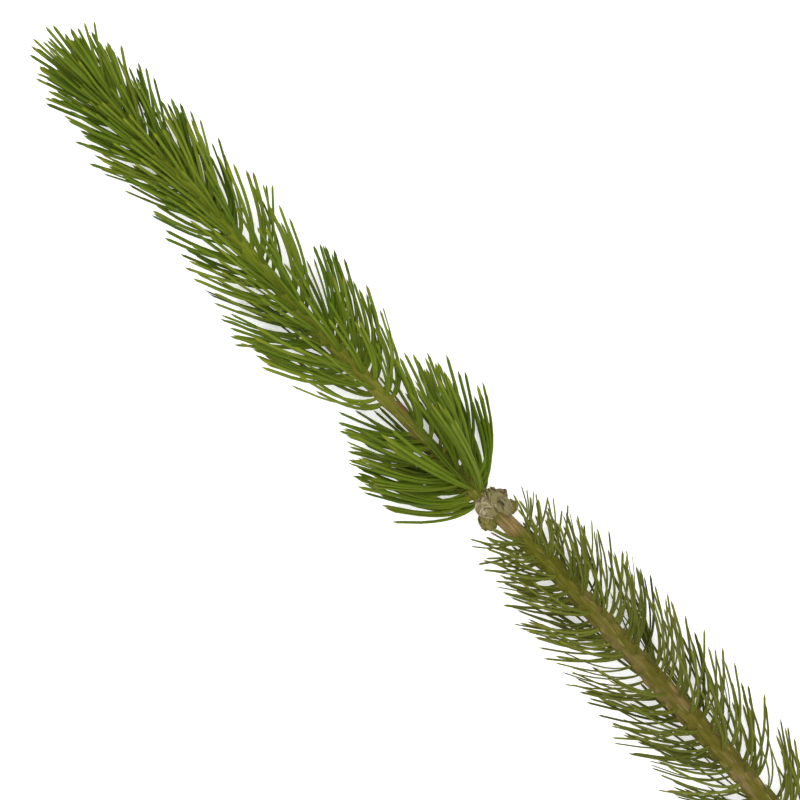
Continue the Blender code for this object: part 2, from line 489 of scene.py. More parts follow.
# %% [markdown]
# ## The stem
#
# Bark on a young pine is covered by leaf cushions: each pair of needles stands on a small
# ridge that runs down the stem below it. They could be sculpted one by one. Here a grid is
# rolled into a tube, each ring of it takes the stem's radius, and the ridges rise where the
# spiral puts them. The place of every point is kept as an attribute, so that the colours
# can follow the bark.
#
# Each row of RIDGES has a place, the height and the width of the ridges there, and how far
# the bark between them lies above the stem's radius. One dry flake stands off the bare gap,
# and the bark is swollen under the collar.

# %% Ridges below the needles
RIDGE_LENGTH = 0.0085
RIDGES = (
    (0.032, 0.00065, 0.00075, -0.00032),
    (0.075, 0.00080, 0.00090, 0.00025),
    (0.222, 0.00080, 0.00090, 0.00020),
    (0.238, 0.00065, 0.00075, -0.00030),
    (0.305, 0.00065, 0.00075, -0.00032),
    (0.345, 0.00115, 0.00105, 0.00035),
    (0.420, 0.00120, 0.00110, 0.00055),
    (0.535, 0.00120, 0.00110, 0.00020),
    (0.560, 0.00120, 0.00110, 0.00010),
)
FOOT_LENGTH = 0.0007
FEET_ABOVE = 4
RIDGE_FADE = 0.8


def ridge_field(places, turns, radii):
    """How far each point of the bark is raised by the ridges below the needles' feet."""
    field = np.zeros_like(places)
    for number in CUSHIONS:
        if growth_of(number) is None:
            continue
        place, turn = cushion(number)
        below = places - place
        near = (below > -FEET_ABOVE * FOOT_LENGTH) & (below < RIDGE_LENGTH)
        sideways = wrapped(turns[near] - turn)
        sideways *= radii[near] / blend(RIDGES, place)[1]
        reach = np.where(
            below[near] < 0,
            np.exp(-((below[near] / FOOT_LENGTH) ** 2)),
            (1 - below[near] / RIDGE_LENGTH) ** RIDGE_FADE,
        )
        field[near] = np.maximum(field[near], reach * np.exp(-(sideways**2)))
    return field


# %% The flake and the swelling
FLAKE_PLACE = 0.2388
FLAKE_TURN = math.radians(-75)
FLAKE_LENGTH = 0.0044
FLAKE_WIDTH = 0.0011
FLAKE_HEIGHT = 0.0016
SWELLING_PLACE = 0.2975
SWELLING_LENGTH = 0.0105
SWELLING_TURN = math.radians(-60)
SWELLING_HEIGHT = 0.0019
SWELLING_ONE_SIDED = 0.3
SWELLING_ROUGH = 0.5


def flake_field(places, turns, radii):
    """The dry flake of bark that stands off the bare gap."""
    sideways = wrapped(turns - FLAKE_TURN) * radii
    along = np.clip(1 - ((places - FLAKE_PLACE) / FLAKE_LENGTH) ** 4, 0, 1)
    return along * np.exp(-((sideways / FLAKE_WIDTH) ** 2))


def swelling_field(places, turns):
    """How far the bark has swollen under the collar, most of all on its right side."""
    along = np.clip(1 - np.abs(places - SWELLING_PLACE) / SWELLING_LENGTH, 0, 1)
    sided = SWELLING_ONE_SIDED * np.cos(turns - SWELLING_TURN)
    return along**2 * (3 - 2 * along) * (1 - SWELLING_ONE_SIDED + sided)


# %% The furrows and the rounded tip
GROOVE = 0.00012
FURROW_GRAIN = (90, 5)
TIP_ROUNDING = 0.004
TIP_LEAST = 0.2


def furrow_field(places, turns):
    """Long shallow furrows, the same on both sides of the tube's seam."""
    along, round_it = FURROW_GRAIN
    spots = zip(places * along, np.cos(turns) * round_it, np.sin(turns) * round_it)
    return np.array([noise.noise(Vector(spot)) for spot in spots])


def rounded_tip(place):
    """How much of the stem's radius is left near its rounded tip."""
    share = min(max((place - STEM_FRONT) / TIP_ROUNDING, 0.0), 1.0)
    return max(math.sqrt(1 - (1 - share) ** 2), TIP_LEAST)


print("radius left at the very tip:", stem_radius(STEM_FRONT) * rounded_tip(STEM_FRONT))

# %% Keep values on the points of a mesh


def set_points(mesh, points):
    mesh.vertices.foreach_set("co", np.ascontiguousarray(points, np.float32).ravel())
    mesh.update()


def set_values(mesh, name, values):
    """Keep one number, or three, for each point of a mesh under a name."""
    kind = "FLOAT" if values.ndim == 1 else "FLOAT_VECTOR"
    field = "value" if values.ndim == 1 else "vector"
    layer = mesh.attributes.new(name, kind, "POINT")
    layer.data.foreach_set(field, np.ascontiguousarray(values, np.float32).ravel())


def points_of(mesh):
    points = np.empty(len(mesh.vertices) * 3, np.float32)
    mesh.vertices.foreach_get("co", points)
    return points.reshape(-1, 3).astype(float)


# %% Roll a grid into the stem
RINGS = 880
SIDES = 52


def make_stem():
    deselect()
    bpy.ops.mesh.primitive_grid_add(x_subdivisions=RINGS, y_subdivisions=SIDES, size=1)
    stem = bpy.context.object
    stem.name = "bark_stem"
    flat = points_of(stem.data)
    places = STEM_FRONT + (flat[:, 0] + 0.5) * (BRANCH_LENGTH - STEM_FRONT)
    turns = flat[:, 1] * 2 * math.pi
    radii = np.array([stem_radius(place) * rounded_tip(place) for place in places])
    ridges = ridge_field(places, turns, radii)
    flake = flake_field(places, turns, radii)
    swelling = swelling_field(places, turns)
    furrows = furrow_field(places, turns)
    heights, _, bases = np.array([blend(RIDGES, place) for place in places]).T
    lift = bases + heights * ridges + GROOVE * furrows + FLAKE_HEIGHT * flake
    lift += SWELLING_HEIGHT * swelling * (1 + SWELLING_ROUGH * furrows)
    points = np.array(
        [
            stem_middle(place) + around(place, turn)[1] * (radius + up)
            for place, turn, radius, up in zip(places, turns, radii, lift)
        ]
    )
    set_points(stem.data, np.clip(points, *cad_box))
    skin = np.stack((places, np.cos(turns) * radii, np.sin(turns) * radii), axis=1)
    names = ("place", "ridge", "flake", "swelling", "skin")
    for name, values in zip(names, (places, ridges, flake, swelling, skin)):
        set_values(stem.data, name, values)
    return stem


stem = make_stem()
print("stem points:", len(stem.data.vertices))

# %% [markdown]
# ### Close the stem's ends
#
# The tube's long seam is merged. The tip end is drawn in to a small bud, which the foremost
# needles hide. The cut end gets its rim of bark and a flat face of wood. One face could fill
# it, but its edge loop is extruded and scaled inwards a few times first, so that the colours
# of the wood have points to follow.

# %% Draw in the open edges
CUT_RINGS = (0.93, 0.86, 0.75, 0.6, 0.5, 0.3)
TIP_RING = 0.5
RING_REACH = 0.01
MERGE_GAP = 0.000001


def select_ring(mesh, place):
    """Select the open edges round the stem at a place, in edit mode."""
    bm = bmesh.from_edit_mesh(mesh)
    middle = stem_middle(place)
    for edge in bm.edges:
        near = (edge.verts[0].co - middle).length < RING_REACH
        edge.select_set(edge.is_boundary and near)
    bmesh.update_edit_mesh(mesh)


def close_end(mesh, place, shares):
    """Extrude the open ring inwards, once for each share of its width, and fill it."""
    bpy.ops.mesh.select_all(action="DESELECT")
    select_ring(mesh, place)
    for share in shares:
        bpy.ops.mesh.extrude_edges_move()
        bpy.ops.transform.resize(value=(share,) * 3, center_override=stem_middle(place))
    bpy.ops.mesh.edge_face_add()


def close_stem(stem):
    bpy.context.view_layer.objects.active = stem
    bpy.ops.object.mode_set(mode="EDIT")
    bpy.ops.mesh.select_mode(type="EDGE")
    bpy.ops.mesh.select_all(action="SELECT")
    bpy.ops.mesh.remove_doubles(threshold=MERGE_GAP)
    close_end(stem.data, BRANCH_LENGTH, CUT_RINGS)
    close_end(stem.data, STEM_FRONT, [TIP_RING])
    bpy.ops.mesh.select_all(action="SELECT")
    bpy.ops.mesh.normals_make_consistent(inside=False)
    bpy.ops.object.mode_set(mode="OBJECT")


close_stem(stem)
print("stem faces:", len(stem.data.polygons))

# %% [markdown]
# ## The needles
#
# A pine needle is half round, a millimetre or so wide and fifty long. One is modelled from
# a six-sided cylinder: cut across into rings, flattened, and drawn in to a blunt point. Each
# copy of it is then bent along its own curve. A flat strip would be lighter, but it would
# vanish when it is seen from its edge.

# %% Model one needle
NEEDLE_RINGS = 8
NEEDLE_SIDES = 6


def make_needle_form():
    """One straight needle along +X, a unit long and wide: its points and faces."""
    deselect()
    bpy.ops.mesh.primitive_cylinder_add(
        vertices=NEEDLE_SIDES,
        radius=0.5,
        depth=1,
        end_fill_type="TRIFAN",
        location=(0.5, 0, 0),
        rotation=(0, math.pi / 2, 0),
    )
    form = bpy.context.object
    bpy.ops.object.transform_apply(location=True, rotation=True)
    bpy.ops.object.mode_set(mode="EDIT")
    bpy.ops.mesh.select_mode(type="EDGE")
    bm = bmesh.from_edit_mesh(form.data)
    for edge in bm.edges:
        edge.select_set(abs(edge.verts[0].co.x - edge.verts[1].co.x) > 0.5)
    bmesh.update_edit_mesh(form.data)
    bpy.ops.mesh.subdivide(number_cuts=NEEDLE_RINGS - 1)
    bpy.ops.object.mode_set(mode="OBJECT")
    points = points_of(form.data)
    faces = [tuple(face.vertices) for face in form.data.polygons]
    bpy.data.objects.remove(form)
    return points, faces


needle_points, needle_faces = make_needle_form()
print("one needle:", len(needle_points), "points,", len(needle_faces), "faces")

# %% [markdown]
# ### A needle's outline
#
# Two needles fill a round sheath together, so each is flat on the side that faced the other.
# It is narrower at its foot, slims slowly and ends in a blunt point. Proportional editing
# could pull it into that shape. One sum of the distance along the needle does the same, and
# each of its numbers can be changed afterwards.

# %% Shape its width and thickness
BLUNT_END = 0.045
NARROW_FOOT = 0.06
FOOT_WIDTH = 0.55
SLIMMING = 0.22
POINT_WIDTH = 0.04
FLAT_SIDE = 0.35


def needle_profile(along):
    """The needle's width at each point along it, 1 where it is widest."""
    foot = FOOT_WIDTH + (1 - FOOT_WIDTH) * np.clip(along / NARROW_FOOT, 0, 1) ** 0.7
    end = np.clip((1 - along) / BLUNT_END, 0, 1) ** 0.6
    slim = 1 - SLIMMING * along**2
    return foot * slim * (POINT_WIDTH + (1 - POINT_WIDTH) * end)


rings_at = needle_points[:, 0].copy()
last_rings = rings_at > 1 - 1.5 / NEEDLE_RINGS
needle_points[last_rings, 0] = np.where(rings_at[last_rings] > 0.99, 1.0, 1 - BLUNT_END)
needle_points[needle_points[:, 2] < 0, 2] *= FLAT_SIDE
profile = needle_profile(needle_points[:, 0])
needle_points[:, 1:] *= profile[:, None]
needle_rim = np.abs(needle_points[:, 1]) * 2 / np.maximum(profile, 0.001)
print("width from foot to tip:", sorted(set(profile.round(2))))

# %% [markdown]
# ### Bend copies along their curves
#
# Each copy follows a curve from its foot past its bend to its tip, the same three points as
# those of its spike in the frame. A Curve modifier bends a mesh too, but a thousand of them
# are slow, so one sum moves all the points of a needle at once. A needle that would dip into
# the table is laid along it instead, as a real one would be.

# %% Stay clear of the table and inside the box
TABLE_GAP = 0.00045
TABLE_SKIN = 0.00005
BOX_MARGIN = 0.0005
lowest = np.array(cad_box[0]) + BOX_MARGIN
highest = np.array(cad_box[1]) - BOX_MARGIN


def kept_in(point):
    """A point moved back inside the box of the solids, clear of the table."""
    inside = np.clip(np.array(point), lowest, highest)
    inside[2] = max(inside[2], TABLE_GAP)
    return inside


def laid(foot, point):
    """A point moved up to the table and further out, its distance from the foot kept."""
    if point.z >= TABLE_GAP:
        return point
    reach = point - foot
    drop = TABLE_GAP - foot.z
    flat = math.hypot(reach.x, reach.y)
    stretched = math.sqrt(max(reach.length_squared - drop * drop, 0.0)) / max(flat, 1e-6)
    return Vector((foot.x + reach.x * stretched, foot.y + reach.y * stretched, TABLE_GAP))


print("needles may reach from", lowest.round(4), "to", highest.round(4))

# %% Bend one needle


def bent_needle(foot, bend, tip, width, thickness, roll):
    """The points of one needle, bent along the curve that foot, bend and tip draw."""
    along = needle_points[:, 0][:, None]
    foot, bend, tip = (np.array(point) for point in (foot, bend, tip))
    middle = foot * (1 - along) ** 2 + 2 * bend * along * (1 - along) + tip * along**2
    heading = 2 * (bend - foot) * (1 - along) + 2 * (tip - bend) * along
    heading /= np.linalg.norm(heading, axis=1)[:, None]
    side = np.cross(heading, roll)
    side /= np.linalg.norm(side, axis=1)[:, None]
    over = np.cross(heading, side)
    flat = needle_points[:, 1][:, None] * width
    deep = needle_points[:, 2][:, None] * thickness
    points = middle + side * flat + over * deep
    points[:, 2] = np.maximum(points[:, 2], TABLE_SKIN)
    return points


# %% [markdown]
# ### Pairs on their cushions
#
# The two needles of a pair stand side by side and part a little towards their tips. Some
# cushions carry more pairs than the one spike in the frame, because a growth is crowded
# round its bud and before the collar: each row of a crowding table has a place and how many
# pairs a cushion has there. Needles on top of the tip shoot are short enough to show its
# stem, and the young ones just below the collar are shorter and paler. Particle hair could
# do all this too, but its needles couldn't each keep to a spike of the frame.

# %% What varies from pair to pair
SPREAD_FOOT = 0.00035
FOOT_SINK = 0.0006
BESIDE = 0.45
TWIST = 0.6
ROLL = 0.3
UNEVEN = 0.08
THICKNESS = 0.7
EXTRA_SWING = 0.11
EXTRA_BACK = 0.0044
EXTRA_PLACES = (0.4, 1.0)
EXTRA_LENGTHS = (0.8, 1.0)
CROWDED_FRONT = 0.046
FRONT_SHORTER = 0.04
FRONT_STRAYS = 2
TIP_SHOOT_END = TIP_NEEDLES[-1][0]
OPEN_TOP = math.radians(50)
OPEN_SHARE = 0.72
SHORTER = ((0.300, 1.0), (0.316, 0.88), (0.338, 0.85), (0.354, 1.0))
TOP_SPAN = math.radians(70)
TOP_TINT = 0.52
TINT_VARIES = 0.2
PAIR_SEED = (7, 3)
CROWD_SEED = (13, 5)
EXTRA_SEED = 1009


def chance_of(number, seed, extra=0):
    """The random numbers of one pair, the same on every run."""
    step, start = seed
    return random.Random(number * step + start + extra * EXTRA_SEED)


def over_tip_stem(place, turn):
    """Whether a cushion is on top of the tip shoot, where the stem shows between needles."""
    return CROWDED_FRONT < place < TIP_SHOOT_END and abs(turn) < OPEN_TOP


print("pairs on top of the tip shoot:", sum(over_tip_stem(*cushion(n)) for n in CUSHIONS))

# %% Let the extra pairs stray


def strayed(foot, points, place, chance):
    """The points of an extra pair, swung a little off the curve of its cushion."""
    front = place < CROWDED_FRONT
    stray = EXTRA_SWING * (FRONT_STRAYS if front else 1)
    swing = Matrix.Rotation(chance.gauss(0, stray), 3, "Z")
    swing @= Matrix.Rotation(chance.gauss(0, stray), 3, "Y")
    share = chance.uniform(*EXTRA_LENGTHS) - (FRONT_SHORTER if front else 0)
    return [foot + swing @ (point - foot) * share for point in points]


# %% Make a pair


def needle_pair(number, widths, spread, extra=0):
    """Two needles side by side on one cushion, with what varies between pairs."""
    foot, bend, tip = needle_path(number)
    chance = chance_of(number, PAIR_SEED, extra)
    place, turn = cushion(number)
    paler = 1 - blend(SHORTER, place)[0]
    grown = (1 - paler) * (OPEN_SHARE if over_tip_stem(place, turn) else 1)
    bend, tip = (foot + (point - foot) * grown for point in (bend, tip))
    if extra:
        foot = stem_point(place + chance.uniform(*EXTRA_PLACES) * EXTRA_BACK, turn)
        bend, tip = strayed(foot, (bend, tip), place, chance)
    out = around(place, turn)[1]
    heading = (tip - foot).normalized()
    level = Vector((0, 0, 1)).cross(heading).normalized()
    across = Matrix.Rotation(chance.gauss(0, TWIST), 3, heading) @ level
    width = chance.uniform(*widths)
    beside_stem = min(abs(turn) / TOP_SPAN, 1)
    tint = TOP_TINT + (chance.random() - TOP_TINT) * beside_stem + paler
    pair = []
    for sign in (-1, 1):
        length = 1 - chance.uniform(0, UNEVEN)
        beside = across * sign * width * BESIDE
        apart = across * sign * spread * chance.uniform(0, 1)
        start = foot + across * sign * SPREAD_FOOT - out * FOOT_SINK
        near = kept_in(laid(foot, foot + (bend - foot) * length + beside))
        far = kept_in(laid(foot, foot + (tip - foot) * length + beside + apart))
        roll = heading.cross(across) + across * chance.gauss(0, ROLL)
        points = bent_needle(start, near, far, width, width * THICKNESS, roll)
        own = min(max(tint + chance.uniform(-TINT_VARIES, TINT_VARIES), 0), 1)
        pair.append((points, own))
    return pair


# %% Crowd the cushions
FRONT_CROWDING = ((0.0385, 5.0), (0.046, 4.5), (0.056, 2.2), (0.080, 2.6), (0.110, 2.2))
BACK_CROWDING = ((0.135, 1.1), (0.165, 1.0), (0.190, 2.0), (0.222, 2.0), (0.230, 1.0))
TIP_CROWDING = FRONT_CROWDING + BACK_CROWDING
TUFT_CROWDING = ((0.249, 1.0), (0.262, 1.4), (0.278, 2.4), (0.286, 4.0), (0.291, 5.5))
YOUNG_CROWDING = ((0.316, 1.7), (0.345, 1.4), (0.372, 1.3))
LOWER_CROWDING = YOUNG_CROWDING + ((0.385, 1.6), (0.398, 1.2), (0.410, 1.0))


def pairs_on(number, crowding):
    """How many pairs stand on a cushion, drawn so that they are as many as the table says."""
    place, turn = cushion(number)
    if over_tip_stem(place, turn):
        return 1
    return int(blend(crowding, place)[0] + chance_of(number, CROWD_SEED).random())


print("pairs on the first cushion:", pairs_on(needled["tip_shoot"][0], TIP_CROWDING))

# %% Join the needles of each growth
NEEDLE_KINDS = {
    "tip_shoot": ((0.0014, 0.0019), 0.0024, TIP_CROWDING),
    "middle_tuft": ((0.0016, 0.0021), 0.0024, TUFT_CROWDING),
    "lower_shoot": ((0.0011, 0.0015), 0.0055, LOWER_CROWDING),
}


def grow_needles(growth):
    """The needles of one growth: the range of their widths, their spread and crowding."""
    widths, spread, crowding = NEEDLE_KINDS[growth]
    return [
        needle
        for number in needled[growth]
        for extra in range(pairs_on(number, crowding))
        for needle in needle_pair(number, widths, spread, extra)
    ]


def join_needles(name, needles):
    """Needles as one mesh, with each point's place along its needle and its tint kept."""
    count = len(needle_points)
    points = np.concatenate([shape for shape, _ in needles])
    faces = [
        tuple(corner + count * step for corner in face)
        for step in range(len(needles))
        for face in needle_faces
    ]
    mesh = bpy.data.meshes.new(name)
    mesh.from_pydata(points, [], faces)
    set_values(mesh, "along", np.tile(needle_points[:, 0], len(needles)))
    set_values(mesh, "rim", np.tile(needle_rim, len(needles)))
    set_values(mesh, "tint", np.repeat([tint for _, tint in needles], count))
    made = bpy.data.objects.new(name, mesh)
    bpy.context.scene.collection.objects.link(made)
    mesh.shade_smooth()
    print(name, len(needles), "needles,", len(mesh.polygons), "faces")
    return made


needle_pieces = [join_needles("needles_" + name, grow_needles(name)) for name in NEEDLE_KINDS]

# %% [markdown]
# ## The collar
#
# Between the middle tuft and the lower shoot sits a ring of dry buds. Each is an ico sphere
# that noise pushes in and out, coarse first and fine after, until it is as knobbly as a
# closed bud. It could be sculpted, but noise makes all seven differ by itself. Each row of
# the bud table has a place, a turn in degrees, and the bud's size along the stem, round it
# and out of it. Each kind of knob has its grain, a number that makes it differ from bud to
# bud, and its depth.

# %% Where the buds sit
COLLAR_SINK = 0.0012
COLLAR_LUMPS = {
    "bud_upper_left": (0.2972, 27, (0.0096, 0.0076, 0.0044)),
    "bud_lower_left": (0.3022, 84, (0.0082, 0.0058, 0.0060)),
    "scale_upper_right": (0.2994, -52, (0.0136, 0.0078, 0.0048)),
    "bud_right_front": (0.2982, -114, (0.0062, 0.0044, 0.0070)),
    "bud_right_back": (0.3050, -108, (0.0056, 0.0048, 0.0066)),
    "bud_under_left": (0.2975, 140, (0.0062, 0.0050, 0.0046)),
    "bud_under_right": (0.3026, -160, (0.0066, 0.0052, 0.0046)),
}
COARSE = (3.1, 900, 0.14)
LOBES = (7.0, 700, 0.12)
CREASES = (12.0, 500, 0.10)
CREASE_MIDDLE = 0.4


def bud_frame(place, turn):
    """A bud's directions: along the stem, round it and out of it."""
    along, out = around(place, math.radians(turn))
    return Matrix((along, out.cross(along), out)).transposed()


def bud_middle(place, turned, size):
    """The middle of a bud that is sunk a little into the bark."""
    return stem_middle(place) + turned.col[2] * (stem_radius(place) - COLLAR_SINK + size[2] / 2)


print("buds round the collar:", len(COLLAR_LUMPS))

# %% The rough body of a bud


def make_bud(name, place, turn, size):
    """A ball that noise makes knobbly: its creases' depth is kept for painted shade and
    highlight.
    """
    turned = bud_frame(place, turn)
    middle = bud_middle(place, turned, size)
    deselect()
    bpy.ops.mesh.primitive_ico_sphere_add(subdivisions=5, radius=0.5)
    bud = bpy.context.object
    bud.name = name + "_bud"
    kinds = (COARSE, LOBES, CREASES)
    depth = []
    for vert in bud.data.vertices:
        coarse, lobes, creases = (
            noise.noise(vert.co * grain + middle * variety) for grain, variety, _ in kinds
        )
        crease = abs(creases)
        depth.append(crease)
        push = 1 + COARSE[2] * coarse + LOBES[2] * lobes + CREASES[2] * (crease - CREASE_MIDDLE)
        vert.co = middle + turned @ Vector(a * b for a, b in zip(vert.co * push, size))
    set_values(bud.data, "crease", np.array(depth))
    set_values(bud.data, "rim", np.zeros(len(depth)))
    bud.data.shade_smooth()
    return bud


# %% [markdown]
# ### Papery scales
#
# Each bud is wrapped in dry scales that overlap like tiles, with thin pale rims that curl
# away from it. A scale could be cut from a cloth and draped. Here it is a small grid with a
# tongue's outline, laid on the bud's round form and given a paper's thickness by a Solidify
# modifier. The scales stand in three rows. Each has its number of scales, how far round the
# bud they start and end in degrees, how far they stand off it, and how much they curl.

# %% The outline and the waves of a scale
SCALE_STEPS = (16, 14)
SCALE_THICKNESS = 0.00028
SCALE_ROWS = ((4, 168, 84, 0.10, 0.10), (3, 125, 42, 0.05, 0.10), (3, 80, 8, 0.01, 0.06))
SCALE_HALF_WIDTH = math.radians(66)
HEADING_VARIES = 25
CURL_VARIES = (0.3, 1.9)
RIM_VARIES = (0.35, 1.0)
BELLY = 0.2
RAGGED = 0.50
WAVE_ROUND = 0.2
WAVE_OUT = 0.16
EDGE_OUT = 0.10
FLAT_CREASE = 0.2
WAVE_KEYS = (0.37, 5.1, 11.3)


def wave_key(name, number, row):
    """A number that differs from scale to scale, for the noise that waves its rim."""
    of_name, of_number, of_row = WAVE_KEYS
    return sum(ord(letter) for letter in name) * of_name + number * of_number + row * of_row


def tongue(up):
    """How wide a scale is at a height above its foot, as a share of its full width."""
    return math.sqrt(max(1 - up**4, 0.0)) * (1 - BELLY + BELLY * math.sin(up * math.pi))


print("a scale's width from foot to tip:", [round(tongue(up / 4), 2) for up in range(5)])

# %% Place a point of a scale


def scale_point(up, side, row, heading, curl, key):
    """A point of a scale on a ball one unit wide: up its length and to one side of it."""
    _, start, end, lift, _ = SCALE_ROWS[row]
    wave = noise.noise(Vector((up * 3, side * 2, key)))
    ragged = 1 + RAGGED * noise.noise(Vector((side * 5, key, up)))
    lean = math.radians(start + (end - start) * up * ragged)
    spin = heading + side * tongue(up) * SCALE_HALF_WIDTH * (1 + WAVE_ROUND * wave)
    raised = 1 + lift + curl * up**3 + WAVE_OUT * wave * up + EDGE_OUT * abs(side) ** 4
    ball = (
        math.cos(lean),
        math.sin(lean) * math.cos(spin),
        math.sin(lean) * math.sin(spin),
    )
    return Vector(ball) * raised / 2


# %% Wrap a scale round a bud


def make_scale(bud_name, number, row, place, turn, size):
    """One scale of a bud: number counts round the row, and a row is how high it sits."""
    count, _, _, _, curl = SCALE_ROWS[row]
    chance = random.Random(bud_name + str(number * 10 + row))
    turned = bud_frame(place, turn)
    middle = bud_middle(place, turned, size)
    swing = chance.uniform(-HEADING_VARIES, HEADING_VARIES)
    heading = math.radians(360 * (number + row / 2) / count + swing)
    curl *= chance.uniform(*CURL_VARIES)
    rim_share = chance.uniform(*RIM_VARIES)
    key = wave_key(bud_name, number, row)
    deselect()
    bpy.ops.mesh.primitive_grid_add(
        x_subdivisions=SCALE_STEPS[0], y_subdivisions=SCALE_STEPS[1], size=1
    )
    scale = bpy.context.object
    rims = []
    for vert in scale.data.vertices:
        up, side = vert.co.x + 0.5, vert.co.y * 2
        point = scale_point(up, side, row, heading, curl, key)
        vert.co = middle + turned @ Vector(a * b for a, b in zip(point, size))
        rims.append(rim_share * max(up, abs(side)) ** 5)
    set_values(scale.data, "rim", np.array(rims))
    set_values(scale.data, "crease", np.full(len(rims), FLAT_CREASE))
    paper = scale.modifiers.new("paper", "SOLIDIFY")
    paper.thickness = SCALE_THICKNESS
    paper.offset = 1
    bpy.ops.object.modifier_apply(modifier="paper")
    scale.data.shade_smooth()
    return scale


# %% Join each bud with its scales


def join(target, pieces):
    deselect()
    for piece in [target] + pieces:
        piece.select_set(True)
    bpy.context.view_layer.objects.active = target
    bpy.ops.object.join()
    return target


buds = {}
for name, (place, turn, size) in COLLAR_LUMPS.items():
    scales = [
        make_scale(name, number, row, place, turn, size)
        for row in range(len(SCALE_ROWS))
        for number in range(SCALE_ROWS[row][0])
    ]
    buds[name] = join(make_bud(name, place, turn, size), scales)
print("buds:", sorted(bud.name for bud in buds.values()))

# %% [markdown]
# ## Finishes
#
# A needle is green along its length, with a painted highlight along its middle, yellow at
# the foot and yellow green to brown at the very tip, and no two are the same green. Painted
# images could show that. The attributes kept on the points give each finish its place
# instead, so nothing here needs an image and the colours stay sharp from near by.

# %% Needle green
MIDDLE_HIGHLIGHT_GREEN = (0.128, 0.176, 0.024, 1)
SHADED_GREEN = (0.014, 0.018, 0.002, 1)
FOOT_YELLOW = (0.215, 0.205, 0.030, 1)
BROWN_TIP = (0.120, 0.068, 0.010, 1)
NEEDLE_MOTTLE = 420.0
NEEDLE_GREENS = {
    "tip": ((0.042, 0.084, 0.002, 1), (0.120, 0.156, 0.011, 1), (0.192, 0.208, 0.008, 1)),
    "tuft": ((0.040, 0.078, 0.002, 1), (0.114, 0.154, 0.010, 1), (0.176, 0.192, 0.008, 1)),
    "lower": ((0.041, 0.049, 0.003, 1), (0.116, 0.127, 0.018, 1), (0.175, 0.175, 0.008, 1)),
}


def needle_finish(name, dark, light, warm):
    """Green between a dark and a light one, with a warm green towards some of the tips."""
    shader = Shader(name)
    along = shader.attribute("along")
    tint = shader.attribute("tint")
    mottle = shader.noise(shader.position(), NEEDLE_MOTTLE, 3.0)
    green = shader.mix(shader.ramp(tint * 0.75 + mottle * 0.4, 0.1, 0.95), dark, light)
    # Painted highlight: along its middle, across its width, each needle is pulled a fifth of
    # the way towards one shared, mostly paler green.
    middle = shader.fall(shader.attribute("rim"), 0.0, 0.75) * 0.20
    green = shader.mix(middle, green, MIDDLE_HIGHLIGHT_GREEN)
    green = shader.mix(shader.fall(tint, 0.0, 0.09) * 0.35, green, SHADED_GREEN)
    green = shader.mix(shader.fall(along, 0.02, 0.11) * 0.85, green, FOOT_YELLOW)
    end = shader.ramp(along, 0.88, 1.0) * shader.ramp(tint, 0.40, 0.70) * 0.9
    end_colour = shader.mix(shader.ramp(tint, 0.72, 0.98), warm, BROWN_TIP)
    green = shader.mix(end, green, end_colour)
    return shader.finish(green, 0.42 + mottle * 0.16, mottle, 0.00012, 0.06)


for piece, (name, greens) in zip(needle_pieces, NEEDLE_GREENS.items()):
    piece.data.materials.append(needle_finish(name + "_needle_green", *greens))
    print(piece.name, "wears", piece.data.materials[0].name)

# %% [markdown]
# ### Bark
#
# The bark is green in the tip shoot, olive in the bare gap and brown in the lower shoot, with
# pale streaks along the ridges and dark cracks between them. Below the collar it is pink
# for a few millimetres and fresh green after that. It could be painted on. Here layers of
# colour are mixed one over the other, and the share of each says where it lies: by the place
# along the stem, the height of the ridges, or a noise that is stretched along the stem.

# %% The bark's colours
GREEN_BARK = ((0.098, 0.136, 0.004, 1), (0.150, 0.182, 0.009, 1))
OLIVE_BARK = ((0.092, 0.096, 0.007, 1), (0.142, 0.140, 0.018, 1))
BROWN_BARK = ((0.062, 0.054, 0.003, 1), (0.112, 0.098, 0.012, 1))
SWOLLEN_BARK = ((0.098, 0.088, 0.014, 1), (0.170, 0.145, 0.046, 1))
SHADED_BARK = (0.050, 0.068, 0.003, 1)
FRESH_BARK = (0.080, 0.084, 0.002, 1)
DRY_BARK = (0.170, 0.115, 0.048, 1)
PINK_BARK = (0.255, 0.160, 0.068, 1)
PALE_RIDGE = (0.195, 0.155, 0.034, 1)
PALE_LINE = (0.270, 0.220, 0.085, 1)
DARK_CRACK = (0.032, 0.029, 0.003, 1)
FLAKE_BROWN = (0.100, 0.056, 0.020, 1)
STREAK_GRAIN = (90, 1100, 1100)
LINE_GRAIN = (130, 1500, 1500)
PATCH_GRAIN = (160, 260, 260)
DRY_GRAIN = (45, 190, 190)
UNDER_TUFT = (0.251, 0.262, 0.278, 0.288)
FRESH_PLACES = (0.312, 0.320, 0.335, 0.375)
PINK_PLACES = (0.303, 0.307, 0.312, 0.318)

# %% Lay the bark's colours over each other


def bark_ground(shader, skin, place, patches, under_tuft):
    """The broad colours of the bark, before its ridges and cracks."""
    green, olive, brown = (
        shader.mix(patches, *colours) for colours in (GREEN_BARK, OLIVE_BARK, BROWN_BARK)
    )
    bark = shader.mix(shader.ramp(place, 0.150, 0.235), green, olive)
    # Painted shade: the bark under the middle tuft is darkened towards a shaded green.
    bark = shader.mix(under_tuft * 0.85, bark, SHADED_BARK)
    bark = shader.mix(shader.ramp(place, 0.300, 0.330), bark, brown)
    bark = shader.mix(shader.band(place, *FRESH_PLACES) * 0.7, bark, FRESH_BARK)
    weathered = shader.noise(shader.stretched(skin, DRY_GRAIN), 1.0, 2.0)
    dry = shader.ramp(weathered, 0.50, 0.64) * shader.ramp(place, 0.340, 0.380) * 0.6
    bark = shader.mix(dry, bark, DRY_BARK)
    return shader.mix(shader.band(place, *PINK_PLACES) * 0.8, bark, PINK_BARK)


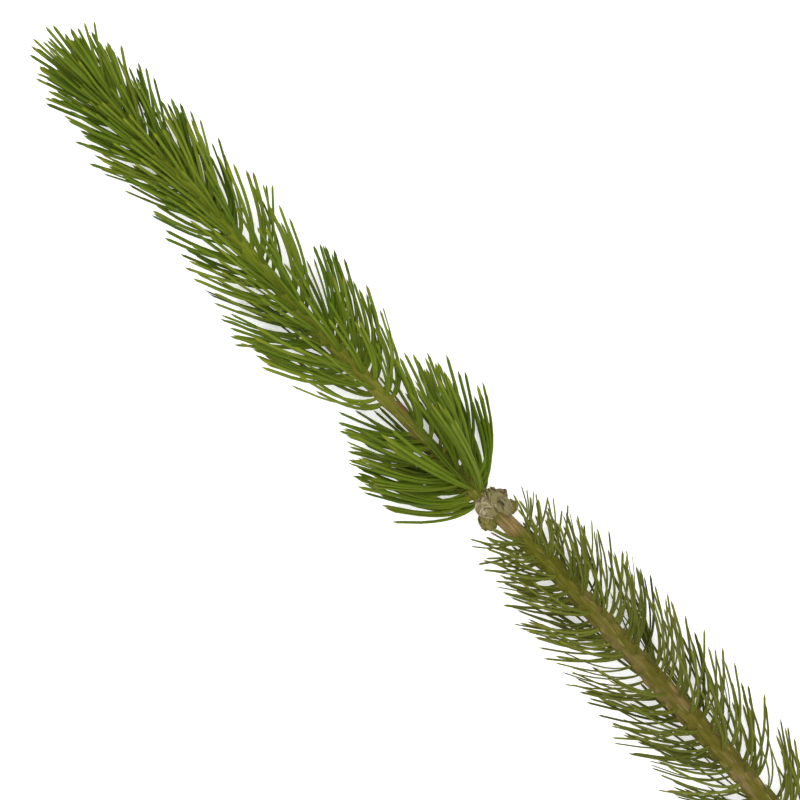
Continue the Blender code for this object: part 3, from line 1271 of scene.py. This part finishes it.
def bark_finish():
    shader = Shader("young_bark")
    skin = shader.attribute("skin", "Vector")
    place = shader.attribute("place")
    ridge = shader.attribute("ridge")
    streaks = shader.noise(shader.stretched(skin, STREAK_GRAIN), 1.0, 4.0, 0.6)
    lines = shader.noise(shader.stretched(skin, LINE_GRAIN), 1.0, 1.0)
    patches = shader.noise(shader.stretched(skin, PATCH_GRAIN), 1.0, 3.0)
    under_tuft = shader.band(place, *UNDER_TUFT)
    bark = bark_ground(shader, skin, place, patches, under_tuft)
    # Under the middle tuft the pale streaks and lines are weakened as part of its painted
    # shade; they are also fainter in the tip shoot and the lower shoot.
    open_bark = (1 - under_tuft * 0.8) * (0.35 + shader.ramp(place, 0.225, 0.245) * 0.65)
    open_bark = open_bark * (1 - shader.ramp(place, 0.312, 0.320) * 0.5)
    pale = shader.ramp(ridge, 0.40, 0.95) * shader.ramp(streaks, 0.4, 0.60) * 0.8 * open_bark
    bark = shader.mix(pale, bark, PALE_RIDGE)
    bark = shader.mix(shader.ramp(lines, 0.63, 0.70) * 0.75 * open_bark, bark, PALE_LINE)
    dark = shader.fall(ridge, 0.0, 0.35) * shader.fall(streaks, 0.38, 0.5) * 0.5
    bark = shader.mix(dark, bark, DARK_CRACK)
    collar = shader.ramp(shader.attribute("swelling"), 0.20, 0.60)
    bark = shader.mix(collar * 0.8, bark, shader.mix(patches, *SWOLLEN_BARK))
    flake = shader.ramp(shader.attribute("flake"), 0.15, 0.5)
    bark = shader.mix(flake, bark, FLAKE_BROWN)
    return shader.finish(bark, 0.6 + streaks * 0.2, streaks, 0.0004, 0.1)


stem.data.materials.clear()
stem.data.materials.append(bark_finish())
print("nodes of the bark:", len(stem.data.materials[0].node_tree.nodes))

# %% [markdown]
# ### The wood of the cut
#
# A cut through a young leader shows a dark spot of pith, pale wood with a ring or two, and
# green inner bark round it. A wood texture could draw them, but it wouldn't know where the
# middle of the cut is. So each point keeps its distance from it, and the colours follow that.

# %% Wood, pith and ring
WOOD = ((0.496, 0.376, 0.208, 1), (0.624, 0.512, 0.320, 1))
RING_BROWN = (0.360, 0.235, 0.100, 1)
PITH_BROWN = (0.220, 0.130, 0.050, 1)
INNER_BARK = (0.100, 0.105, 0.020, 1)
PITH_REACHES = (0.0003, 0.0007)
RING_REACHES = (0.0018, 0.0022, 0.0022, 0.0025)
BARK_REACHES = (0.0035, 0.0038)
WOOD_GRAIN = 900.0
CUT_DEPTH = 0.0001


def wood_finish():
    shader = Shader("cut_wood")
    from_heart = shader.attribute("from_heart")
    grain = shader.noise(shader.position(), WOOD_GRAIN, 2.0)
    wood = shader.mix(grain, *WOOD)
    wood = shader.mix(shader.band(from_heart, *RING_REACHES) * 0.6, wood, RING_BROWN)
    wood = shader.mix(shader.fall(from_heart, *PITH_REACHES) * 0.8, wood, PITH_BROWN)
    wood = shader.mix(shader.ramp(from_heart, *BARK_REACHES) * 0.9, wood, INNER_BARK)
    return shader.finish(wood, 0.75, grain, 0.0001, 0.3)


stem.data.materials.append(wood_finish())
cut_middle = stem_middle(BRANCH_LENGTH)
cut_heading = around(BRANCH_LENGTH, 0)[0]
from_heart = np.linalg.norm(points_of(stem.data) - np.array(cut_middle), axis=1)
set_values(stem.data, "from_heart", from_heart)
for face in stem.data.polygons:
    if abs((face.center - cut_middle).dot(cut_heading)) < CUT_DEPTH:
        face.material_index = 1
stem.data.shade_smooth()
print("faces of wood:", sum(face.material_index for face in stem.data.polygons))

# %% [markdown]
# ### Dry scales
#
# The scales round the buds are dead and dry: khaki, olive or russet, with pale rims where
# they are thinnest. The knobbly buds get painted shade in their creases and a painted
# highlight on their crests. One finish with three sets of colours does for all of them, and
# is easier to keep alike than three.

# %% Khaki, olive and russet
CREASE_SHADE_BROWN = (0.072, 0.056, 0.016, 1)
SCALE_GRAIN = 700.0
# Each kind has a low and a high dry colour and a pale one; the pale one colours the scales'
# rims and also serves as the painted highlight on the buds' crests.
SCALE_COLOURS = {
    "russet": ((0.085, 0.058, 0.020, 1), (0.165, 0.120, 0.052, 1), (0.26, 0.21, 0.12, 1)),
    "khaki": ((0.104, 0.088, 0.024, 1), (0.200, 0.172, 0.070, 1), (0.400, 0.325, 0.215, 1)),
    "olive": ((0.096, 0.084, 0.010, 1), (0.192, 0.164, 0.032, 1), (0.272, 0.240, 0.072, 1)),
}
SCALE_KINDS = {
    "bud_lower_left": "olive",
    "bud_right_back": "olive",
    "bud_right_front": "russet",
}


def scale_finish(name, low, high, rim):
    """Dry brown from low to high, pale rims, a painted highlight on crests, painted shade in
    creases.
    """
    shader = Shader(name)
    crease = shader.attribute("crease")
    grain = shader.noise(shader.position(), SCALE_GRAIN, 4.0, 0.6)
    colour = shader.mix(grain, low, high)
    # Painted highlight: the crests of a bud's knobs are pulled towards the pale rim colour.
    colour = shader.mix(shader.ramp(crease, 0.25, 0.45) * 0.7, colour, rim)
    colour = shader.mix(shader.ramp(shader.attribute("rim"), 0.45, 0.95) * 0.85, colour, rim)
    # Painted shade: the creases of a bud's knobs are darkened.
    colour = shader.mix(shader.fall(crease, 0.0, 0.12) * 0.35, colour, CREASE_SHADE_BROWN)
    return shader.finish(colour, 0.7, grain, 0.0003, 0.3)


scale_finishes = {
    kind: scale_finish(kind + "_scale", *colours) for kind, colours in SCALE_COLOURS.items()
}
for name, bud in buds.items():
    kind = SCALE_KINDS.get(name, "khaki")
    bud.data.materials.append(scale_finishes[kind])
    print(name, "is", kind)

# %% [markdown]
# ## Hand the pieces to the frame
#
# The bark and the three growths stand for the needled stem, and each bud for its own solid.
# All of them ride the frame's one body.

# %% Ride, replace and finish
for piece in [stem] + needle_pieces:
    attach(piece, "root")
    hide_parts("needled_stem")
for name, bud in buds.items():
    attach(bud, "root")
    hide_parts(name)
